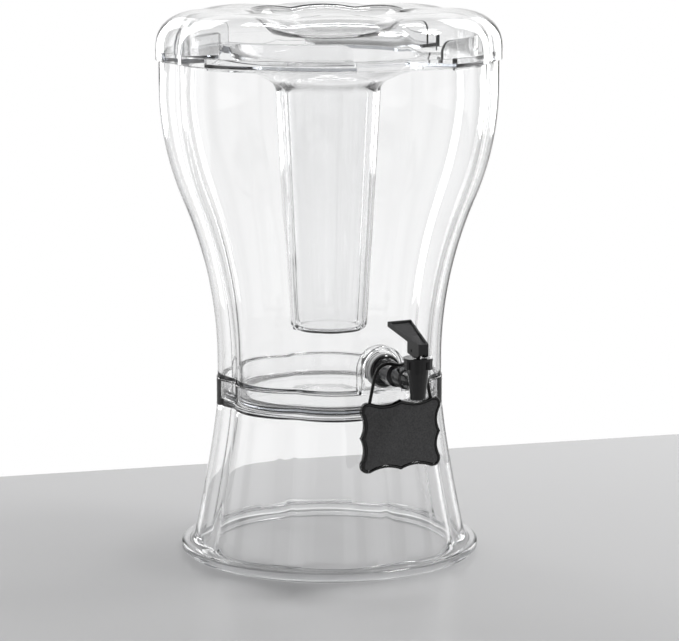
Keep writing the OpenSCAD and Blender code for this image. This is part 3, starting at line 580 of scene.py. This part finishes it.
def bell_ring(t):
    middle = mix(BELL_Z, BELL_TOP_Z, BELL_BEND)
    r = swing(CORE_TOP_R, CORE_TOP_R, BELL_R, BELL_R, t)
    return r, swing(BELL_Z, middle, middle, BELL_TOP_Z, t), mix(CORE_CREASE, 1, t)


def tube_r(z):
    return mix(CORE_TIP_R, CORE_TOP_R, (z - CORE_TIP_Z) / (BELL_Z - CORE_TIP_Z))


def arm_outline(_, angle):
    """An arm's plate, its lug on the rim and the lip inside the rim."""
    share = lobe(angle, RIM_CREASE)
    lug_out, lug_in = (RIM_R - LID_GAP) * share, (RIM_R - LUG_W) * share
    lip_out = (RIM_R - VESSEL_WALL - LID_GAP) * share
    lip_z = RIM_Z - LIP_H
    root = BELL_R - BELL_RIM / 2
    return closed_fillet([(root, ARM_Z, ARM_ROUND), (root, ARM_TOP_Z, ARM_ROUND),
                          (lug_in, ARM_TOP_Z, ARM_ROUND), (lug_in, LUG_Z, ARM_ROUND),
                          (lug_out, LUG_Z, ARM_ROUND), (lug_out, RIM_Z, LUG_ROUND),
                          (lip_out, RIM_Z, LIP_FILLET), (lip_out, lip_z, ARM_ROUND),
                          (lug_in, lip_z, ARM_ROUND), (lug_in, ARM_Z, LIP_FILLET)], 2)


def tab_outline(off, _):
    """A finger tab's upright plate, with its upper corners round."""
    half_w, across = TAB_R * math.sin(ARM_ANGLE / 2), TAB_R * math.sin(abs(off))
    inset = max(0, across - (half_w - TAB_ROUND))
    rise = math.sqrt(max(0, TAB_ROUND ** 2 - min(inset, TAB_ROUND) ** 2))
    top, low = ARM_TOP_Z + TAB_H - TAB_ROUND + rise, ARM_Z + ARM_T / 2
    back = TAB_R - TAB_T
    return closed_fillet([(back, low, LIP_FILLET), (TAB_R, low, LIP_FILLET), (TAB_R, top, EDGE_ROUND),
                          (back, top, EDGE_ROUND)], 4)


def make_hanger():
    inner_r, outer_r, top = BELL_R - BELL_RIM, BELL_R + BELL_RIM, ARM_TOP_Z - RING_SINK
    corners = [(inner_r, ARM_Z), (outer_r, ARM_Z), (outer_r, top), (inner_r, top)]
    hanger = [turned_ring("hanger_ring", closed_fillet([(r, z, RING_ROUND) for r, z in corners], 2))]
    for i in range(ARM_COUNT):
        middle = 2 * math.pi * (i + 0.5) / ARM_COUNT
        hanger.append(sector(f"arm_{i}", middle, ARM_ANGLE / 2, arm_outline))
        hanger.append(sector(f"tab_{i}", middle, ARM_ANGLE / 2 - TAB_INSET, tab_outline))
    return hanger


def make_ice_core():
    w, floor_z = CORE_WALL, CORE_TIP_Z + CORE_WALL
    tip = fillet_inside([(0, CORE_TIP_Z, 0), (CORE_TIP_R, CORE_TIP_Z, CORE_BEVEL), (CORE_TOP_R, BELL_Z, 0)])
    inside = fillet_inside([(CORE_TOP_R - w, BELL_Z, 0), (CORE_TIP_R - w, floor_z, CORE_BEVEL),
                            (0, floor_z, 0)])
    heights = [mix(CORE_TIP_Z + 2 * CORE_BEVEL, BELL_Z, t) for t in steps(12)][:-1]
    bell = [bell_ring(t) for t in steps(24)]
    profile = rings(tip, CORE_CREASE)
    profile += rings([(tube_r(z), z) for z in heights], CORE_CREASE)
    profile += [(r, z, crease, 0) for r, z, crease in bell]
    profile += [(r - w, z, crease, 0) for r, z, crease in reversed(bell)]
    profile += rings([(tube_r(z) - w, z) for z in reversed(heights)], CORE_CREASE)
    profile += rings(inside, CORE_CREASE)
    piece = lobed_wall("clear_ice_core", profile)
    combine("clear_ice_core", piece, make_hanger(), "UNION")
    finish_piece(piece, "ice_core", CLEAR_CORE)


# Lid

LID_WALL, LID_DROP, LID_STEP = 2.2, 1, 2.8
LID_R = RIM_R + LID_GAP + LID_WALL
CREST_Z = high_mm("lid").z
CREST_IN, SLOPE_R = 44.5, 74
CREST_H, CREST_R = CREST_Z - LUG_Z, LID_R - CREST_IN
RECESS_R, RECESS_D, CREST_DIP, CORNER_FULL = 44, 21.5, 2.5, 0.82
STEP_FILLET, SKIRT_IN_ROUND, SKIRT_OUT_ROUND = 0.3, 0.6, 0.8


def corner_ring(r, h, t):
    """A ring of the lid's full corner, from the skirt at radius r to the crest at height h."""
    s, c = math.sin(math.pi / 2 * t), max(0, math.cos(math.pi / 2 * t))
    return mix(CREST_R, r, c ** CORNER_FULL), LUG_Z + h * s ** CORNER_FULL, RIM_CREASE, CREST_DIP * s * s


def slope_ring(drop, t):
    """A ring of the slope from the crest down to the sunk middle, drop below the outer face."""
    fade = math.cos(math.pi / 2 * t) ** 2
    z = CREST_Z - drop - RECESS_D * (1 - math.cos(math.pi * t)) / 2
    return mix(SLOPE_R, RECESS_R, t), z, mix(RIM_CREASE, 1, t), CREST_DIP * fade


def make_lid():
    skirt_r, low = RIM_R + LID_GAP, RIM_Z - LID_DROP
    inner_r = skirt_r - LID_STEP
    corner, slope = steps(40), steps(28)
    skirt = fillet_inside([(inner_r, LUG_Z, 0), (skirt_r, LUG_Z, STEP_FILLET), (skirt_r, low, SKIRT_IN_ROUND),
                           (LID_R, low, SKIRT_OUT_ROUND), (LID_R, LUG_Z, 0)])
    profile = [slope_ring(LID_WALL, t) for t in reversed(slope)]
    profile += [corner_ring(inner_r, CREST_H - LID_WALL, t) for t in reversed(corner)]
    profile += rings(skirt, RIM_CREASE)
    profile += [corner_ring(LID_R, CREST_H, t) for t in corner]
    profile += [slope_ring(0, t) for t in slope]
    piece = lobed_wall("clear_lid", profile)
    finish_piece(piece, "lid", CLEAR)


# Sign cord: the route of the part's source, from one hole over the tap's barrel to the other

CORD_HALF = [(-29.2, -25), (-28, -19.6), (-26.6, -13.4), (-25.2, -7), (-24, -1.6), (-22.5, 3.4),
             (-20.2, 7.6), (-17, 10.2), (-13, 11.3), (-8.8, 11.2), (-4.4, 10.2), (0, 9.4)]
CORD_R = 1.35
CORD_Y = (low_mm("sign_cord").y + high_mm("sign_cord").y) / 2


def make_cord():
    half = [Vector((x, CORD_Y, TAP_Z + z)) * MM for x, z in CORD_HALF]
    route = half + [Vector((-p.x, p.y, p.z)) for p in reversed(half[:-1])]
    data = bpy.data.curves.new("sign_string", "CURVE")
    data.dimensions = "3D"
    data.bevel_depth = CORD_R * MM
    data.bevel_resolution = 4
    data.use_fill_caps = True
    spline = data.splines.new("POLY")
    spline.points.add(len(route) - 1)
    for point, place in zip(spline.points, route):
        point.co = (*place, 1)
    piece = add_object("sign_string", data)
    finish_piece(piece, "sign_cord", CORD)


# Sign frame: the outline of the part's source, with a half-round rim round the panel's pocket

SIGN_W, SIGN_H, SIGN_T, SIGN_DROP = 73, 58, 4.8, 48
SIGN_RIM, PANEL_SINK, SIGN_HOLLOW, SIGN_CORNER, SIGN_ROUND = 2.6, 1.2, 3, 8.5, 6
SIGN_BACK_Y = high_mm("sign_frame").y
SIGN_Z = TAP_Z - SIGN_DROP
SIGN_BACK_EDGE = [(0.6, 0), (0.2, 0.2), (0, 0.6)]
RIM_TURNS = [math.radians(d) for d in range(0, 171, 10)]


def in_sign(x, z, inset):
    """Whether a point lies in the sign's outline, drawn in by an inset: rounded corners and hollow edges."""
    x, z = abs(x), abs(z)
    past_x, past_z = x - (SIGN_W / 2 - SIGN_ROUND), z - (SIGN_H / 2 - SIGN_ROUND)
    if past_x > 0 and past_z > 0 and math.hypot(past_x, past_z) > SIGN_ROUND - inset:
        return False
    if x > SIGN_W / 2 - inset or z > SIGN_H / 2 - inset:
        return False
    for along, across, length, side in ((x, z, SIGN_W, SIGN_H), (z, x, SIGN_H, SIGN_W)):
        quarter = (length / 2 - SIGN_CORNER) / 2
        r = (quarter ** 2 + SIGN_HOLLOW ** 2) / (2 * SIGN_HOLLOW)
        if math.hypot(along - quarter, across - (side / 2 + r - SIGN_HOLLOW)) < r + inset:
            return False
    return True


def sign_loop(inset, height, count=480, halvings=24):
    """The outline at an inset, as points found by halving along rays from the sign's middle."""
    loop = []
    for i in range(count):
        c, s = math.cos(2 * math.pi * i / count), math.sin(2 * math.pi * i / count)
        near, far = 0, SIGN_W
        for _ in range(halvings):
            half = (near + far) / 2
            near, far = (half, far) if in_sign(half * c, half * s, inset) else (near, half)
        loop.append((near * c, SIGN_BACK_Y - height, SIGN_Z + near * s))
    return loop


def make_sign_frame():
    r = SIGN_RIM / 2
    half_round = [(r - r * math.cos(a), SIGN_T - r + r * math.sin(a)) for a in RIM_TURNS]
    line = [*SIGN_BACK_EDGE, *half_round, (SIGN_RIM, SIGN_T - PANEL_SINK)]
    piece = loop_mesh("sign_plaque", [sign_loop(inset, height) for inset, height in line])
    finish_piece(piece, "sign_frame", SIGN_BLACK)


# The other pieces keep their CAD shapes, and the tap's larger ones get softened edges

SOFT_EDGES = {"tap_body": 0.4, "bonnet": 0.4, "lever": 0.4, "lock_nut": 0.5}
SOFT_SEGMENTS = 3
FLAT_WITHIN, SOFT_ABOVE = math.radians(1), math.radians(35)
CAD_MATERIALS = {"tap_body": BLACK, "bonnet": BLACK, "lever": BLACK, "lock_nut": BLACK, "stem": BLACK,
                 "lever_pin": BLACK, "front_washer": SILICONE, "rear_washer": SILICONE, "seat_cup": SILICONE,
                 "stem_seal": SILICONE, "return_spring": STEEL, "sign_panel": CHALK}


def soften(piece, width):
    flat = piece.modifiers.new("flat_faces", "DECIMATE")
    flat.decimate_type = "DISSOLVE"
    flat.angle_limit = FLAT_WITHIN
    bevel = piece.modifiers.new("soft_edges", "BEVEL")
    bevel.width = width * MM
    bevel.segments = SOFT_SEGMENTS
    bevel.limit_method = "ANGLE"
    bevel.angle_limit = SOFT_ABOVE


def dress_cad_nodes():
    for node, material in CAD_MATERIALS.items():
        paint(nodes[node], material)
    for node, width in SOFT_EDGES.items():
        soften(nodes[node], width)


# Floor: a table whose far edge slants across the photograph

FLOOR_GREY = (0.5, 0.5, 0.504, 1)
FLOOR_SIDE, FLOOR_NEAR = 2500, -4000
EDGE_SIDE, EDGE_LEFT, EDGE_RIGHT = 1200, 12, 690


def make_floor():
    outline = [(-FLOOR_SIDE, EDGE_LEFT), (-EDGE_SIDE, EDGE_LEFT), (EDGE_SIDE, EDGE_RIGHT),
               (FLOOR_SIDE, EDGE_RIGHT), (FLOOR_SIDE, FLOOR_NEAR), (-FLOOR_SIDE, FLOOR_NEAR)]
    mesh = bpy.data.meshes.new("floor")
    mesh.from_pydata([seen_from_camera(side, away, 0) for side, away in outline], [], [range(len(outline))])
    floor = add_object("floor", mesh)
    s = Shader("floor_grey").set(Base_Color=FLOOR_GREY, Roughness=0.35, Specular_IOR_Level=0.12)
    paint(floor, s.material)


# World: a white backdrop. Reflections also show the studio on the camera's side, dark between bright
# strips, and what is seen through clear pieces has a few soft grey bands. Both go by degrees from the
# backdrop's middle, and both are darker towards the ceiling.

AMBIENT, BACKDROP = 0.3, 1.0
CEILING_START, CEILING_FULL, DARK_IN_REFLECTIONS, DARK_IN_CLEAR = 0.3, 0.6, 0.8, 0.5
STUDIO_STRETCHES = [(-180, -168, 0.12), (-164, -148, 1), (-144, -134, 0.12), (-130, -104, 1), (-98, -88, 0.2),
                    (-82, -64, 1), (-58, -20, 0.25), (-13, 13, 1), (20, 58, 0.25), (64, 82, 1), (88, 98, 0.2),
                    (104, 146, 1), (152, 180, 0.12)]
IN_REFLECTIONS = [(edge, strength) for start, end, strength in STUDIO_STRETCHES for edge in (start, end)]
BAND_MIDDLES, BAND_HALF, BAND_STRENGTH = (-130, -85, -40, 50, 95, 140), 14, 0.4
BAND = ((-BAND_HALF, 1), (0, BAND_STRENGTH), (BAND_HALF, 1))
BAND_STOPS = [(middle + off, strength) for middle in BAND_MIDDLES for off, strength in BAND]
IN_CLEAR = [(-180, 1), *BAND_STOPS, (180, 1)]


def make_world():
    world = bpy.data.worlds.new("studio")
    scene.world = world
    world.use_nodes = True
    tree = world.node_tree
    tree.nodes.clear()
    path = tree.nodes.new("ShaderNodeLightPath").outputs
    place = tree.nodes.new("ShaderNodeSeparateXYZ")
    tree.links.new(tree.nodes.new("ShaderNodeTexCoord").outputs["Generated"], place.inputs[0])

    def feed(socket, value):
        if isinstance(value, (int, float)):
            socket.default_value = value
        else:
            tree.links.new(value, socket)

    def math_node(operation, *values):
        node = tree.nodes.new("ShaderNodeMath")
        node.operation = operation
        for socket, value in zip(node.inputs, values):
            feed(socket, value)
        return node.outputs[0]

    def background(strength):
        node = tree.nodes.new("ShaderNodeBackground")
        node.inputs["Color"].default_value = (1, 1, 1, 1)
        feed(node.inputs["Strength"], strength)
        return node.outputs[0]

    def by_turn(turn, stops):
        node = tree.nodes.new("ShaderNodeValToRGB")
        tree.links.new(turn, node.inputs["Fac"])
        ramp = node.color_ramp.elements
        for degrees, _ in stops[1:-1]:
            ramp.new(degrees / 360 + 0.5)
        for element, (_, strength) in zip(ramp, stops):
            element.color = (strength, strength, strength, 1)
        return node.outputs["Color"]

    def under_ceiling(strength, dark):
        share = math_node("SUBTRACT", 1.0, math_node("MULTIPLY", ceiling, dark))
        return math_node("MULTIPLY", strength, share)

    def mixed(share, a, b):
        node = tree.nodes.new("ShaderNodeMixShader")
        for socket, value in zip(node.inputs, (share, a, b)):
            tree.links.new(value, socket)
        return node.outputs[0]

    middle = CAMERA_TURN + math.pi / 2
    angle = math_node("SUBTRACT", math_node("ARCTAN2", place.outputs["Y"], place.outputs["X"]), middle)
    turn = math_node("FRACT", math_node("ADD", math_node("DIVIDE", angle, 2 * math.pi), 1.5))
    rise = tree.nodes.new("ShaderNodeMapRange")
    rise.interpolation_type = "SMOOTHSTEP"
    rise.inputs["From Min"].default_value = CEILING_START
    rise.inputs["From Max"].default_value = CEILING_FULL
    tree.links.new(place.outputs["Z"], rise.inputs["Value"])
    ceiling = rise.outputs["Result"]
    reflected, clear = path["Is Glossy Ray"], path["Is Transmission Ray"]
    in_reflections = background(under_ceiling(by_turn(turn, IN_REFLECTIONS), DARK_IN_REFLECTIONS))
    in_clear = background(under_ceiling(by_turn(turn, IN_CLEAR), DARK_IN_CLEAR))
    seen = mixed(clear, mixed(reflected, background(BACKDROP), in_reflections), in_clear)
    shows = math_node("MAXIMUM", path["Is Camera Ray"], math_node("MAXIMUM", reflected, clear))
    output = tree.nodes.new("ShaderNodeOutputWorld")
    tree.links.new(mixed(shows, background(AMBIENT), seen), output.inputs["Surface"])


# Lamps, each with its place as the camera sees it, its width, its height and its watts

LAMPS = {"left": ((-900, 1200, 800), 500, 1600, 9), "right": ((900, 1200, 800), 500, 1600, 9),
         "over": ((1155, 135, 2250), 450, 450, 28), "top": ((0, 900, 1900), 1000, 120, 9)}
AIM_HEIGHT = 230
LIGHT_BOUNCES = 32


def make_lamp(name, place, width, height, watts):
    light = bpy.data.lights.new(name, "AREA")
    light.shape = "RECTANGLE"
    light.size, light.size_y = width * MM, height * MM
    light.energy = watts
    lamp = bpy.data.objects.new(name, light)
    scene.collection.objects.link(lamp)
    lamp.visible_camera = False
    lamp.location = seen_from_camera(*place)
    aim = seen_from_camera(0, 0, AIM_HEIGHT) - lamp.location
    lamp.rotation_euler = aim.to_track_quat("-Z", "Y").to_euler()


def make_light():
    for name, (place, width, height, watts) in LAMPS.items():
        make_lamp(name, place, width, height, watts)
    scene.cycles.max_bounces = LIGHT_BOUNCES
    scene.cycles.transmission_bounces = LIGHT_BOUNCES
    scene.cycles.transparent_max_bounces = LIGHT_BOUNCES


scene.view_settings.view_transform = "Standard"
make_camera()
make_cord()
make_sign_frame()
make_pedestal()
make_vessel()
make_ice_core()
make_lid()
dress_cad_nodes()
make_floor()
make_world()
make_light()
